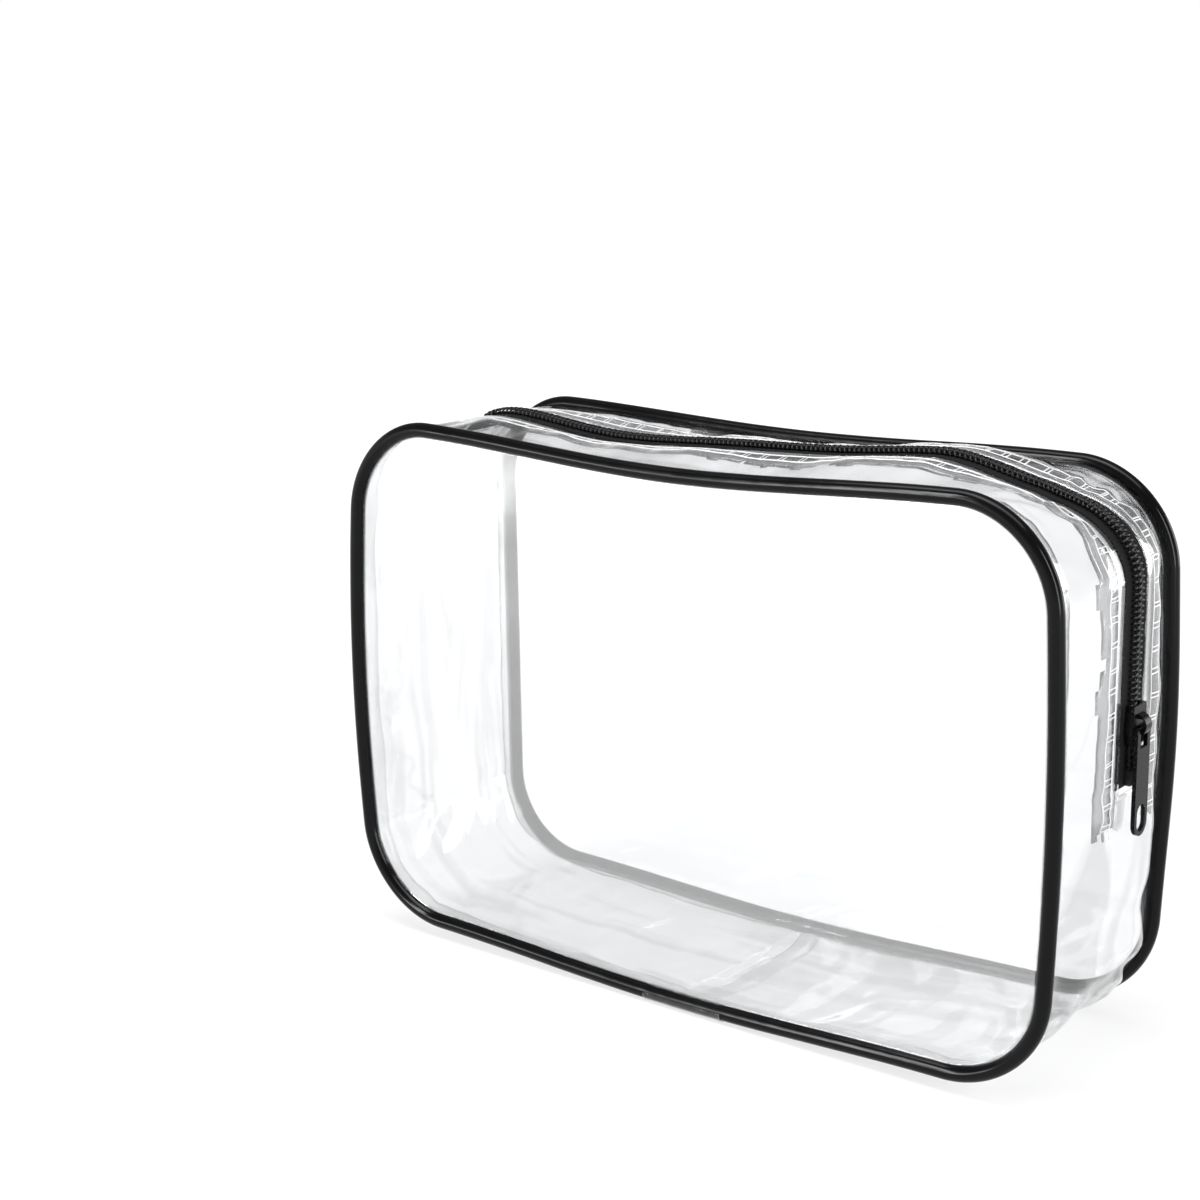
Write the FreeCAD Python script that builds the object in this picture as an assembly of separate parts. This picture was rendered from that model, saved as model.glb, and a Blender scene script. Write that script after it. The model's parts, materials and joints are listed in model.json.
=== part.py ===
import FreeCAD, Part
import math
import os

# Clear film makeup bag: two rounded rectangular film panels joined by a film gusset, black round
# piping on both panel edges, and a coil zip that runs along the top and down the right side.
#
# Frame: millimetres, X = width, Y = depth (front panel at -Y), Z = up.  The origin is the centre
# of the bottom of the bounding box.  The bag is drawn about the middle of its panels and shifted
# once, on export, because the zip bulges and its slider stands out on the right side only.
#
# Around the bag, "out" is the distance outwards from the gusset's outer face, and "from middle" is
# the distance in Y from the middle plane of the bag, where the two halves of the zip meet.

# Bag, measured on the centre line of the piping
WIDTH = 284.0
HEIGHT = 190.0
DEPTH = 84.0
CORNER_RADIUS = 33.0

# Film and piping
FILM = 0.4
PIPING_DIAMETER = 5.0
SLEEVE_WALL = 0.3
SLEEVE_LEFT = -11.0
SLEEVE_LENGTH = 33.0
FILM_ENTRY = 1.5            # gusset edge to centre of the piping
GUSSET_LIP = 2.5            # straight edge of the gusset before it slopes to the zip
PANEL_GAP = 0.1             # panel edge to splice sleeve
SEAM_LEG_GUSSET = 8.0       # seam allowance lying along the gusset
SEAM_LEG_PANEL = 3.0        # seam allowance lapping the panel
LAP_CENTRE = 10.0
LAP_WIDTH = 8.0

# Zip
ZIP_BULGE_TOP = 3.0         # the zip stands out further than the piping line
ZIP_BULGE_SIDE = 8.0
ZIP_START = 18.0            # zip's left end, in from the left side of the bag
ZIP_END = 96.0              # lower end of the opening in the film, up from the piping line
WINDOW_HALF = 7.5           # half the opening in the film
FLAT_HALF = 15.0            # half the flat strip of gusset that carries the zip
TAPE = 0.5
TAPE_HALF = 9.0
TAPE_SPLIT = 0.7            # woven edge of one tape, from the middle
TAPE_MARGIN = 2.0           # film opening to end of tape
FLANGE_TAIL = 13.0          # clear flange below the film opening
COIL_INNER = 0.55
COIL_OUTER = 3.1
COIL_HEIGHT = 1.8
STOP_LENGTH = 5.0
STOP_MARGIN = 0.5
STOP_PROUD = 0.5            # stop above the coil
STOP_GAP = 0.3

# Slider and pull tab
SLIDER_REST = 118.5         # middle of the slider, up from the piping line
SLIDER_LENGTH = 13.0
SLIDER_HALF_TAIL = 4.3
SLIDER_HALF_SHOULDER = 5.2
SLIDER_HALF_MOUTH = 4.4
SLIDER_PLATE = 1.1
SLIDER_CLEARANCE = 0.3
SLIDER_SIDE_CLEARANCE = 0.4
POST_CLEARANCE = 0.1
POST_LENGTH = 3.0
CROWN_LENGTH = 7.6
CROWN_HEIGHT = 3.2
CROWN_WIDTH = 4.0
CROWN_WINDOW_LENGTH = 4.4
CROWN_WINDOW_HEIGHT = 2.0
TAB_BAR_RADIUS = 0.6
TAB_LENGTH = 35.5           # bar to tip
TAB_WIDTH = 9.0
TAB_THICKNESS = 1.4
TAB_WINDOW_LENGTH = 6.0
TAB_WINDOW_SIDE = 0.5       # tab window to crown
TAB_EYE_WIDTH = 5.8
TAB_EYE_LENGTH = 9.0
TAB_EYE_RIM = 1.5

# Mouth: the part of the front shell that folds forward when the zip is open
FOLD_GAP = 0.8
FOLD_BESIDE_STOP = 1.0
FOLD_ABOVE_SLIDER = 1.5

BEYOND = 400.0              # larger than the bag

# Derived places
PIPING_RADIUS = PIPING_DIAMETER / 2
PIPING_LINE = PIPING_RADIUS + SLEEVE_WALL
HALF_DEPTH = DEPTH / 2
PANEL_INNER = HALF_DEPTH - FILM / 2
PANEL_INSET = PIPING_RADIUS + SLEEVE_WALL + PANEL_GAP
GUSSET_EDGE = HALF_DEPTH - FILM_ENTRY
ZIP_START_X = -WIDTH / 2 + ZIP_START
ZIP_END_Z = PIPING_LINE + ZIP_END
TAPE_START_X = ZIP_START_X + TAPE_MARGIN
TAPE_END_Z = ZIP_END_Z + TAPE_MARGIN
COIL_START_X = TAPE_START_X + STOP_MARGIN + STOP_LENGTH
COIL_END_Z = TAPE_END_Z + STOP_MARGIN + STOP_LENGTH
COIL_BASE = -FILM
COIL_TOP = COIL_BASE + COIL_HEIGHT
SLIDER_Z = PIPING_LINE + SLIDER_REST
SLIDER_FACE = COIL_TOP + SLIDER_CLEARANCE + SLIDER_PLATE
ZIP_FACE_X = WIDTH / 2 + ZIP_BULGE_SIDE
TAB_BAR_Z = SLIDER_Z - CROWN_WINDOW_LENGTH / 2 + TAB_BAR_RADIUS + SLIDER_CLEARANCE
TAB_BAR_X = ZIP_FACE_X + SLIDER_FACE + CROWN_WINDOW_HEIGHT / 2
RIGHT_EXTENT = ZIP_FACE_X + SLIDER_FACE + CROWN_HEIGHT
LEFT_EXTENT = -WIDTH / 2 - PIPING_RADIUS
ORIGIN_X = (RIGHT_EXTENT + LEFT_EXTENT) / 2

# Outlines in the XZ plane: left, right, bottom, top, corner radius
PIPING_LOOP = (-WIDTH / 2, WIDTH / 2, PIPING_LINE, PIPING_LINE + HEIGHT, CORNER_RADIUS)
ZIP_LOOP = (-WIDTH / 2, ZIP_FACE_X, PIPING_LINE, PIPING_LINE + HEIGHT + ZIP_BULGE_TOP, CORNER_RADIUS)

FRONT = -1
REAR = 1


def vec(x, y, z):
    return FreeCAD.Vector(x, y, z)


def grown(loop, out):
    """The outline moved outwards by a distance."""
    left, right, bottom, top, radius = loop
    return (left - out, right + out, bottom - out, top + out, radius + out)


def outline(loop, y):
    """Closed wire of an outline in the plane at y."""
    left, right, bottom, top, radius = loop
    corners = [
        (right - radius, bottom + radius, -90),
        (right - radius, top - radius, 0),
        (left + radius, top - radius, 90),
        (left + radius, bottom + radius, 180),
    ]
    arcs = []
    for centre_x, centre_z, start in corners:
        points = []
        for angle in (start, start + 45, start + 90):
            turn = math.radians(angle)
            points.append(vec(centre_x + radius * math.cos(turn), y, centre_z + radius * math.sin(turn)))
        arcs.append(Part.Arc(*points).toShape())
    edges = []
    for index, arc in enumerate(arcs):
        following = arcs[(index + 1) % len(arcs)]
        line = Part.LineSegment(arc.Vertexes[-1].Point, following.Vertexes[0].Point).toShape()
        edges.extend([arc, line])
    return Part.Wire(edges)


def prism(loop, y_low, y_high):
    """Solid of an outline between two planes."""
    return Part.Face(outline(loop, y_low)).extrude(vec(0, y_high - y_low, 0))


def ring(loop, out_low, out_high, y_low, y_high):
    """Closed strip that follows an outline, between two distances out."""
    return prism(grown(loop, out_high), y_low, y_high).cut(prism(grown(loop, out_low), y_low, y_high))


def side_ring(side, loop, out_low, out_high, near, far):
    """Strip on one side of the bag, between two distances from the middle."""
    return ring(loop, out_low, out_high, min(side * near, side * far), max(side * near, side * far))


def block(x_low, x_high, y_low, y_high, z_low, z_high):
    return Part.makeBox(x_high - x_low, y_high - y_low, z_high - z_low, vec(x_low, y_low, z_low))


def zip_region(start_x, end_z):
    """The top and right side of the bag, from the zip's left end to its lower end."""
    return block(start_x, BEYOND, -BEYOND, BEYOND, end_z, BEYOND)


def along_zip(side, out_low, out_high, near, far, start_x, end_z):
    """Strip of the zip on one side of the middle."""
    strip = side_ring(side, ZIP_LOOP, out_low, out_high, near, far)
    return strip.common(zip_region(start_x, end_z))


# Fold line of the mouth, from beside the bottom stop to just above the slider
def fold_ends():
    left, right, bottom, top, radius = ZIP_LOOP
    start_x = COIL_START_X + FOLD_BESIDE_STOP
    inset = max(left + radius - start_x, 0.0)
    start_z = top - radius + math.sqrt(radius ** 2 - inset ** 2)
    end_z = SLIDER_Z + SLIDER_LENGTH / 2 + FOLD_ABOVE_SLIDER
    return vec(start_x, 0, start_z), vec(right, 0, end_z)


def mouth_region(offset):
    """Everything in front of the middle and above the fold line moved up by an offset."""
    start, end = fold_ends()
    along = (end - start).normalize()
    upward = vec(-along.z, 0, along.x)
    low_left = start + upward * offset - along * BEYOND
    low_right = end + upward * offset + along * BEYOND
    corners = [low_left, low_right, low_right + upward * BEYOND, low_left + upward * BEYOND]
    face = Part.Face(Part.makePolygon(corners + [low_left]))
    return face.extrude(vec(0, -BEYOND, 0))


def split_at_fold(shape):
    """The standing piece and the piece that folds with the mouth."""
    standing = shape.cut(mouth_region(-FOLD_GAP / 2))
    folding = shape.common(mouth_region(FOLD_GAP / 2))
    return standing, folding


# Film shell
def gusset():
    """One-piece film band, flat where it carries the zip and sloping from there to the piping."""
    shell = ring(ZIP_LOOP, -FILM, 0, -FLAT_HALF, FLAT_HALF)
    slope_end = GUSSET_EDGE - GUSSET_LIP
    for side in (FRONT, REAR):
        solids = []
        for out in (0, -FILM):
            wires = [outline(grown(ZIP_LOOP, out), side * FLAT_HALF),
                     outline(grown(PIPING_LOOP, out), side * slope_end)]
            solids.append(Part.makeLoft(wires, True, True))
        lip = side_ring(side, PIPING_LOOP, -FILM, 0, slope_end, GUSSET_EDGE)
        shell = shell.fuse(solids[0].cut(solids[1])).fuse(lip)
    window = zip_region(ZIP_START_X, ZIP_END_Z).common(
        block(-BEYOND, BEYOND, -WINDOW_HALF, WINDOW_HALF, -BEYOND, BEYOND))
    return shell.cut(window)


def panel(side):
    """Flat film panel inside the ring of piping."""
    loop = grown(PIPING_LOOP, -PANEL_INSET)
    return prism(loop, side * HALF_DEPTH - FILM / 2, side * HALF_DEPTH + FILM / 2)


def seam_allowance(side):
    """Angle strip inside the edge: one leg laps the panel and one lies along the gusset."""
    along_gusset = side_ring(side, PIPING_LOOP, -2 * FILM, -FILM, PANEL_INNER - SEAM_LEG_GUSSET, PANEL_INNER)
    lap = -PANEL_INSET - SEAM_LEG_PANEL
    behind_panel = side_ring(side, PIPING_LOOP, lap, -FILM, PANEL_INNER - FILM, PANEL_INNER)
    return along_gusset.fuse(behind_panel)


def piping(side):
    """Round cord round the panel, open on its inner quarter where the film edges enter."""
    y = side * HALF_DEPTH
    pieces = []
    for edge in outline(PIPING_LOOP, y).Edges:
        start = edge.Vertexes[0].Point
        tangent = edge.tangentAt(edge.FirstParameter)
        section = Part.Face(Part.Wire(Part.makeCircle(PIPING_RADIUS, start, tangent)))
        if isinstance(edge.Curve, Part.Line):
            pieces.append(section.extrude(edge.Vertexes[-1].Point - start))
        else:
            pieces.append(section.revolve(edge.Curve.Center, edge.Curve.Axis, 90))
    cord = pieces[0].multiFuse(pieces[1:])
    seam_entry = side_ring(side, PIPING_LOOP, -PIPING_DIAMETER, -FILM,
                           PANEL_INNER - PIPING_DIAMETER, PANEL_INNER)
    gusset_entry = side_ring(side, PIPING_LOOP, -FILM, 0, GUSSET_EDGE - PIPING_DIAMETER, GUSSET_EDGE)
    return cord.cut(seam_entry).cut(gusset_entry)


def splice_sleeve(side):
    """Clear sleeve over the ends of the piping at the bottom of the bag."""
    base = vec(SLEEVE_LEFT, side * HALF_DEPTH, PIPING_LINE)
    outer = Part.makeCylinder(PIPING_RADIUS + SLEEVE_WALL, SLEEVE_LENGTH, base, vec(1, 0, 0))
    inner = Part.makeCylinder(PIPING_RADIUS, SLEEVE_LENGTH, base, vec(1, 0, 0))
    film_entry = side_ring(side, PIPING_LOOP, -PIPING_DIAMETER, PANEL_GAP,
                           HALF_DEPTH - PIPING_DIAMETER, HALF_DEPTH + FILM)
    return outer.cut(inner).cut(film_entry)


def gusset_lap():
    """Second layer where the ends of the gusset band lap on the bottom of the bag."""
    reach = PANEL_INNER - SEAM_LEG_GUSSET
    return block(LAP_CENTRE - LAP_WIDTH / 2, LAP_CENTRE + LAP_WIDTH / 2, -reach, reach,
                 PIPING_LINE + FILM, PIPING_LINE + 2 * FILM)


# Zip
def zip_tape(side):
    """Woven tape lapped under the film edge."""
    return along_zip(side, -FILM - TAPE, -FILM, TAPE_SPLIT, TAPE_HALF, TAPE_START_X, TAPE_END_Z)


def zip_flange(side):
    """Clear flange that welds the tape to the gusset and hangs on below the opening."""
    return along_zip(side, -FILM - TAPE, -FILM, TAPE_HALF, FLAT_HALF,
                     ZIP_START_X, ZIP_END_Z - FLANGE_TAIL)


def coil_strand(side):
    """Plain envelope of one coil strand."""
    return along_zip(side, COIL_BASE, COIL_TOP, COIL_INNER, COIL_OUTER, COIL_START_X + STOP_GAP,
                     COIL_END_Z + STOP_GAP)


def top_stop(side):
    """Stop on one strand at the closed end of the zip."""
    strip = side_ring(side, ZIP_LOOP, COIL_BASE, COIL_TOP + STOP_PROUD, TAPE_SPLIT, COIL_OUTER + STOP_GAP)
    return strip.common(block(0, BEYOND, -BEYOND, BEYOND, COIL_END_Z - STOP_LENGTH, COIL_END_Z))


def bottom_stop():
    """Stop across both strands at the open end of the zip."""
    reach = COIL_OUTER + STOP_GAP
    strip = ring(ZIP_LOOP, COIL_BASE, COIL_TOP + STOP_PROUD, -reach, reach)
    return strip.common(block(COIL_START_X - STOP_LENGTH, COIL_START_X, -BEYOND, BEYOND, HEIGHT / 2, BEYOND))


# Slider and pull tab, drawn with x = distance out from the zip's face
def slider_outline():
    """Plate outline: narrow where the closed zip leaves, wide at the shoulders."""
    top = SLIDER_Z + SLIDER_LENGTH / 2
    shoulder = SLIDER_Z - SLIDER_LENGTH / 5
    bottom = SLIDER_Z - SLIDER_LENGTH / 2
    half = [(SLIDER_HALF_MOUTH, bottom), (SLIDER_HALF_SHOULDER, shoulder), (SLIDER_HALF_TAIL, top)]
    points = [vec(0, y, z) for y, z in half] + [vec(0, -y, z) for y, z in reversed(half)]
    return Part.Face(Part.makePolygon(points + [points[0]]))


def slider_body():
    """Two plates with side flanges, a channel for the coils, a slot for the tapes and a post."""
    plate_gap_low = -FILM - TAPE - SLIDER_CLEARANCE
    plate_gap_high = COIL_TOP + SLIDER_CLEARANCE
    base = plate_gap_low - SLIDER_PLATE
    plan = slider_outline()
    plan.translate(vec(ZIP_FACE_X + base, 0, 0))
    body = plan.extrude(vec(SLIDER_FACE - base, 0, 0))
    channel_half = COIL_OUTER + SLIDER_SIDE_CLEARANCE
    channel = block(ZIP_FACE_X + plate_gap_low, ZIP_FACE_X + plate_gap_high, -channel_half, channel_half,
                    0, BEYOND)
    slot = block(ZIP_FACE_X + plate_gap_low, ZIP_FACE_X - FILM + SLIDER_CLEARANCE, -BEYOND, BEYOND,
                 0, BEYOND)
    post_half = COIL_INNER - POST_CLEARANCE
    post_low = SLIDER_Z - SLIDER_LENGTH / 2
    post = block(ZIP_FACE_X + plate_gap_low, ZIP_FACE_X + plate_gap_high, -post_half, post_half,
                 post_low, post_low + POST_LENGTH)
    return body.cut(channel).cut(slot).fuse(post)


def slider_crown():
    """Domed bridge on the slider, open underneath for the bar of the pull tab."""
    foot = ZIP_FACE_X + SLIDER_FACE
    half_width = CROWN_WIDTH / 2
    low = vec(foot, -half_width, SLIDER_Z - CROWN_LENGTH / 2)
    peak = vec(foot + CROWN_HEIGHT, -half_width, SLIDER_Z)
    high = vec(foot, -half_width, SLIDER_Z + CROWN_LENGTH / 2)
    arc = Part.Arc(low, peak, high).toShape()
    chord = Part.LineSegment(high, low).toShape()
    dome = Part.Face(Part.Wire([arc, chord])).extrude(vec(0, CROWN_WIDTH, 0))
    window = block(foot, foot + CROWN_WINDOW_HEIGHT, -CROWN_WIDTH, CROWN_WIDTH,
                   SLIDER_Z - CROWN_WINDOW_LENGTH / 2, SLIDER_Z + CROWN_WINDOW_LENGTH / 2)
    return dome.cut(window)


def stadium(width, length, centre_z, x_low, thickness):
    """Slot-shaped plate in the YZ plane."""
    radius = width / 2
    reach = length / 2 - radius
    ends = []
    for z in (centre_z - reach, centre_z + reach):
        ends.append(Part.makeCylinder(radius, thickness, vec(x_low, 0, z), vec(1, 0, 0)))
    middle = block(x_low, x_low + thickness, -radius, radius, centre_z - reach, centre_z + reach)
    return ends[0].fuse(ends[1]).fuse(middle)


def pull_tab():
    """Flat tab with a rounded tip, an eye, and a window whose top bar passes through the crown."""
    x_low = TAB_BAR_X - TAB_THICKNESS / 2
    tip = TAB_BAR_Z - TAB_LENGTH
    radius = TAB_WIDTH / 2
    plate = block(x_low, x_low + TAB_THICKNESS, -radius, radius, tip + radius, TAB_BAR_Z)
    plate = plate.fuse(Part.makeCylinder(radius, TAB_THICKNESS, vec(x_low, 0, tip + radius), vec(1, 0, 0)))
    eye = stadium(TAB_EYE_WIDTH, TAB_EYE_LENGTH, tip + TAB_EYE_RIM + TAB_EYE_LENGTH / 2, x_low, TAB_THICKNESS)
    window_half = CROWN_WIDTH / 2 + TAB_WINDOW_SIDE
    window = block(x_low, x_low + TAB_THICKNESS, -window_half, window_half,
                   TAB_BAR_Z - TAB_WINDOW_LENGTH, TAB_BAR_Z + TAB_THICKNESS)
    bar = Part.makeCylinder(TAB_BAR_RADIUS, TAB_WIDTH, vec(TAB_BAR_X, -radius, TAB_BAR_Z), vec(0, 1, 0))
    knuckles = Part.makeCylinder(TAB_THICKNESS / 2, TAB_WIDTH, vec(TAB_BAR_X, -radius, TAB_BAR_Z), vec(0, 1, 0))
    tab = plate.fuse(knuckles).cut(eye).cut(window)
    return tab.fuse(bar)


def all_nodes():
    nodes = {
        "rear_panel": panel(REAR),
        "rear_piping": piping(REAR),
        "rear_seam_allowance": seam_allowance(REAR),
        "front_splice_sleeve": splice_sleeve(FRONT),
        "rear_splice_sleeve": splice_sleeve(REAR),
        "gusset_lap_joint": gusset_lap(),
        "rear_zip_tape": zip_tape(REAR),
        "rear_zip_flange": zip_flange(REAR),
        "rear_coil": coil_strand(REAR),
        "front_top_stop": top_stop(FRONT),
        "rear_top_stop": top_stop(REAR),
        "zip_bottom_stop": bottom_stop(),
        "slider_body": slider_body(),
        "slider_crown": slider_crown(),
        "pull_tab": pull_tab(),
    }
    folded = {
        ("gusset_band", "mouth_gusset_strip"): gusset(),
        ("front_panel", "mouth_panel"): panel(FRONT),
        ("front_piping", "mouth_piping"): piping(FRONT),
        ("front_seam_allowance", "mouth_seam_allowance"): seam_allowance(FRONT),
        ("front_zip_tape_ends", "mouth_zip_tape"): zip_tape(FRONT),
        ("front_zip_flange_ends", "mouth_zip_flange"): zip_flange(FRONT),
        ("front_coil_end", "mouth_coil"): coil_strand(FRONT),
    }
    for (standing_name, folding_name), shape in folded.items():
        nodes[standing_name], nodes[folding_name] = split_at_fold(shape)
    return nodes


def export(nodes):
    os.makedirs("parts", exist_ok=True)
    for name, shape in nodes.items():
        placed = shape.copy()
        placed.translate(vec(-ORIGIN_X, 0, 0))
        placed.exportStep(os.path.join("parts", name + ".step"))
        box = placed.optimalBoundingBox()
        print(name, len(placed.Solids), round(placed.Volume, 1), placed.isValid(),
              [round(value, 2) for value in (box.XMin, box.XMax, box.YMin, box.YMax, box.ZMin, box.ZMax)])


def print_places():
    """Places that the record states, in the exported frame."""
    start, end = fold_ends()
    front = -HALF_DEPTH - PIPING_RADIUS
    print("mouth hinge from", (start.x - ORIGIN_X, front, start.z), "to", (end.x - ORIGIN_X, front, end.z))
    print("slider middle", (ZIP_FACE_X - ORIGIN_X, 0, SLIDER_Z))
    print("slider down", -(SLIDER_Z - SLIDER_LENGTH / 2 - COIL_END_Z))
    print("slider up", PIPING_LINE + HEIGHT + ZIP_BULGE_TOP - CORNER_RADIUS - SLIDER_Z - SLIDER_LENGTH / 2)
    print("pull hinge", (TAB_BAR_X - ORIGIN_X, 0, TAB_BAR_Z))
    print("rear panel face", (-ORIGIN_X, HALF_DEPTH + FILM / 2, PIPING_LINE + HEIGHT / 2))


export(all_nodes())
print_places()
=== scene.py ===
import json
import math

import bmesh
import bpy
import numpy as np
from mathutils import Matrix, Vector, noise

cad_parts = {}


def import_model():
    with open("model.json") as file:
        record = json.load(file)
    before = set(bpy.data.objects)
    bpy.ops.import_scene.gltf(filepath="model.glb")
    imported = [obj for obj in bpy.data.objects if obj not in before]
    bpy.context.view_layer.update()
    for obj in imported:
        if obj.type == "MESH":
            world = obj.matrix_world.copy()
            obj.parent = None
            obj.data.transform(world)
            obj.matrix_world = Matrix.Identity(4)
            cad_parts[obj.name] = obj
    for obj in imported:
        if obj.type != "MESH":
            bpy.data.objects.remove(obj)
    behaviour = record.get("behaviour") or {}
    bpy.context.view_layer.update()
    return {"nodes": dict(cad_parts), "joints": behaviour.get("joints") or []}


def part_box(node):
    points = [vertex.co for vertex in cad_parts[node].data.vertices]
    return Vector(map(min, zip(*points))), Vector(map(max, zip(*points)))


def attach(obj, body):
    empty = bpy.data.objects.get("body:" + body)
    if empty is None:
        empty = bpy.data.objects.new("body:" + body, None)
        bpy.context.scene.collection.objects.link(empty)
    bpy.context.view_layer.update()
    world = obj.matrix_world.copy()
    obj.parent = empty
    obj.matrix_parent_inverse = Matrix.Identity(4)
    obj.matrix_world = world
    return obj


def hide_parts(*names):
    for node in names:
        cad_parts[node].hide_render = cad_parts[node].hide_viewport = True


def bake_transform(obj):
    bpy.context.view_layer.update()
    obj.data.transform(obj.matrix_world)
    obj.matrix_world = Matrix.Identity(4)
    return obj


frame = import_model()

# Clear film makeup bag.  Metres, in the CAD frame: X = width, -Y = front, Z = up.
# "along" is the distance round the bag from the middle of its bottom, going right, up, left and
# down; "across" is Y, the distance from the middle plane; "out" is outwards from the gusset's face.

MM = 0.001

# ---------------------------------------------------------------- sizes taken from the frame
piping_low, piping_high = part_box("rear_piping")
band_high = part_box("gusset_band")[1]
rear_panel_low, rear_panel_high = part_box("rear_panel")
sleeve_low, sleeve_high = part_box("front_splice_sleeve")
lap_low, lap_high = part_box("gusset_lap_joint")
coil_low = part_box("rear_coil")[0]
tape_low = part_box("rear_zip_tape")[0]
flange_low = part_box("rear_zip_flange")[0]
seam_low, seam_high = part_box("rear_seam_allowance")
bottom_stop_low, bottom_stop_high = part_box("zip_bottom_stop")

PIPING_RADIUS = (piping_high.y - piping_low.y) / 2
CORD_RADIUS = PIPING_RADIUS * 1.1
HALF_DEPTH = (piping_high.y + piping_low.y) / 2
PIPING_LOOP = (piping_low.x + PIPING_RADIUS, piping_high.x - PIPING_RADIUS,
               piping_low.z + PIPING_RADIUS, piping_high.z - PIPING_RADIUS)
ZIP_LOOP = (PIPING_LOOP[0], band_high.x, PIPING_LOOP[2], band_high.z)
MIDDLE_X = (PIPING_LOOP[0] + PIPING_LOOP[1]) / 2
LOOP_HEIGHT = PIPING_LOOP[3] - PIPING_LOOP[2]
PANEL_LOOP = (rear_panel_low.x, rear_panel_high.x, rear_panel_low.z, rear_panel_high.z)
PANEL_INSET = PANEL_LOOP[0] - PIPING_LOOP[0]
CORNER_RADIUS = 33 * MM
FILM = rear_panel_high.y - rear_panel_low.y

GUSSET_EDGE = band_high.y
WINDOW_HALF = 7.5 * MM
FLAT_HALF = 15 * MM
SLOPE_END = 38 * MM
TAPE_INNER = 0.35 * MM
TAPE_HALF = 9 * MM
TAPE_THICKNESS = 0.5 * MM
SEAM_INNER = seam_low.y
SEAM_OUTER = seam_high.y
ZIP_START_X = flange_low.x

# The bag stands bent: its ends lift a little and its sides bow
LIFT = 3.8 * MM
LIFT_MIDDLE = 0.45 * MM
LIFT_REACH = 120 * MM
BOW_FRONT_LEFT = 5.7 * MM
BOW_FRONT_RIGHT = 3.4 * MM
BOW_REAR_RIGHT = 2.3 * MM
REAR_SAG = 1.5 * MM
FRONT_SAG = 1.6 * MM
REAR_CORNER_PULL = 0.9 * MM
REAR_LEAN = 2.0 * MM
ZIP_END_Z = flange_low.z + 13 * MM - LIFT
FLANGE_END_Z = flange_low.z - LIFT
FLANGE_OUTER = 21 * MM
WELD_BAND_OUTER = 12 * MM
TAPE_END_Z = tape_low.z - LIFT
COIL_END_Z = coil_low.z - LIFT

COIL_PITCH = 1.9 * MM
COIL_WIRE = 0.40 * MM
RIB_PITCH = 7.5 * MM
SLEEVE_GAP = 0.33 * MM
SLEEVE_FLARE = 0.12 * MM
SLEEVE_THICKNESS = 0.25 * MM
CORNER_DIP = 7.5 * MM
TAUT_DIP = 4.5 * MM

fold = [joint for joint in frame["joints"] if joint["name"] == "mouth_fold"][0]
FOLD_POINT = Vector(fold["pos_m"])
MOUTH_LEFT_X = FOLD_POINT.x
slider_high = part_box("slider_body")[1]
MOUTH_RIGHT_Z = slider_high.z + 1.5 * MM - LIFT


# ---------------------------------------------------------------- small numeric helpers
def smooth(low, high, value):
    """0 below low, 1 above high, and an S-curve between."""
    t = np.clip((value - low) / (high - low), 0, 1)
    return t * t * (3 - 2 * t)


def noise_at(points, seed=0.0):
    """Perlin noise at each row of an (n, 2) array."""
    return np.array([noise.noise(Vector((a, b, seed))) for a, b in points])


def field(along, across, length_along, length_across, seed):
    """Perlin noise over the gusset, with its own wave length each way."""
    points = np.stack([along / length_along, across / length_across], -1).reshape(-1, 2)
    return noise_at(points, seed).reshape(along.shape)


# ---------------------------------------------------------------- the path round the bag
def loop_points(loop, steps):
    """Points and normals of a rounded rectangle from the middle of its bottom, anticlockwise."""
    left, right, bottom, top = loop
    r = CORNER_RADIUS
    middle = (left + right) / 2
    corners = [((right - r, bottom + r), -90), ((right - r, top - r), 0),
               ((left + r, top - r), 90), ((left + r, bottom + r), 180)]
    points, normals = [], []

    def add(point, angle):
        points.append(point)
        normals.append((math.cos(math.radians(angle)), math.sin(math.radians(angle))))

    def add_line(start, end, angle, count):
        for index in range(count):
            t = index / count
            add((start[0] + (end[0] - start[0]) * t, start[1] + (end[1] - start[1]) * t), angle)

    here = (middle, bottom)
    for number, (centre, first) in enumerate(corners):
        turn = math.radians(first)
        start = (centre[0] + r * math.cos(turn), centre[1] + r * math.sin(turn))
        add_line(here, start, first, steps // 2 if number == 0 else steps)
        for index in range(steps):
            angle = first + 90 * index / steps
            turn = math.radians(angle)
            add((centre[0] + r * math.cos(turn), centre[1] + r * math.sin(turn)), angle)
        turn = math.radians(first + 90)
        here = (centre[0] + r * math.cos(turn), centre[1] + r * math.sin(turn))
    add_line(here, (middle, bottom), 270, steps // 2)
    add((middle, bottom), 270)
    return np.array(points), np.array(normals)


PATH_STEPS = 160
ZIP_PATH, NORMALS = loop_points(ZIP_LOOP, PATH_STEPS)
PIPING_PATH, _ = loop_points(PIPING_LOOP, PATH_STEPS)
ALONG = np.concatenate([[0], np.cumsum(np.linalg.norm(np.diff(ZIP_PATH, axis=0), axis=1))])
ROUND = ALONG[-1]


def on_path(path, along):
    return np.stack([np.interp(along, ALONG, path[:, k]) for k in (0, 1)], -1)


def along_at(test, value, axis):
    """Where the zip's path passes a value of x (axis 0) or z (axis 1) in a part of the bag."""
    picked = np.where(test(ZIP_PATH))[0]
    coordinate = ZIP_PATH[picked, axis]
    order = np.argsort(coordinate)
    return float(np.interp(value, coordinate[order], ALONG[picked][order]))


def right_side(path):
    return (NORMALS[:, 0] > 0.999)


def top_left(path):
    return (NORMALS[:, 1] > 0.05) & (path[:, 0] < MIDDLE_X)


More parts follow.
